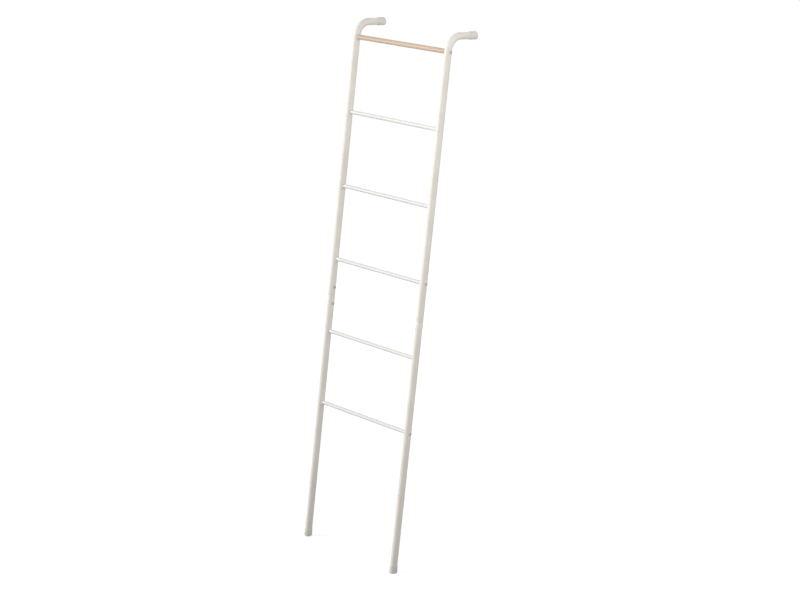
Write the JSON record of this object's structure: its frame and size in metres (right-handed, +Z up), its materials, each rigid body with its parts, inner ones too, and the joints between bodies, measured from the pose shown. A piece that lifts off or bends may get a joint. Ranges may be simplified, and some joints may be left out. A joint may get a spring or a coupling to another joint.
{
  "type": "leaning coat rack",
  "caption": "Leaning ladder-style coat rack: tubular side rails bent over into wall hooks, joined by a round wooden bar and thin tubular rungs.",
  "frame": {"origin": "on the floor, midway between the side rails and midway between the front of the feet and the wall plane that the hooks meet", "axes": "+Z up; +Y towards the wall; +X along the rungs, to the right of someone who faces the rack from the front"},
  "size_m": [0.4258, 0.3356, 1.5999],
  "materials": {
    "painted_tube": "satin off-white powder coat",
    "wooden_bar": "pale natural wood, matt clear lacquer, fine straight grain",
    "plated_steel": "bright zinc plate",
    "insert_brass": "turned brass",
    "cap_rubber": "pale grey matt elastomer"
  },
  "bodies": {
    "root": {"left_upper_rail": "painted_tube", "right_upper_rail": "painted_tube", "left_lower_rail": "painted_tube", "right_lower_rail": "painted_tube", "left_joint_sleeve": "plated_steel", "right_joint_sleeve": "plated_steel", "left_joint_nut_upper": "plated_steel", "left_joint_nut_lower": "plated_steel", "right_joint_nut_upper": "plated_steel", "right_joint_nut_lower": "plated_steel", "left_joint_screw_upper": "plated_steel", "left_joint_screw_lower": "plated_steel", "right_joint_screw_upper": "plated_steel", "right_joint_screw_lower": "plated_steel", "wooden_top_bar": "wooden_bar", "left_bar_insert": "insert_brass", "right_bar_insert": "insert_brass", "left_bar_screw": "plated_steel", "right_bar_screw": "plated_steel", "rung_1": "painted_tube", "rung_2": "painted_tube", "rung_3": "painted_tube", "left_rung_3_plug": "plated_steel", "right_rung_3_plug": "plated_steel", "left_rung_3_screw": "plated_steel", "right_rung_3_screw": "plated_steel", "rung_4": "painted_tube", "rung_5": "painted_tube", "left_rung_5_plug": "plated_steel", "right_rung_5_plug": "plated_steel", "left_rung_5_screw": "plated_steel", "right_rung_5_screw": "plated_steel", "left_foot_cap": "cap_rubber", "right_foot_cap": "cap_rubber", "left_wall_cap": "cap_rubber", "right_wall_cap": "cap_rubber"}
  },
  "joints": []
}
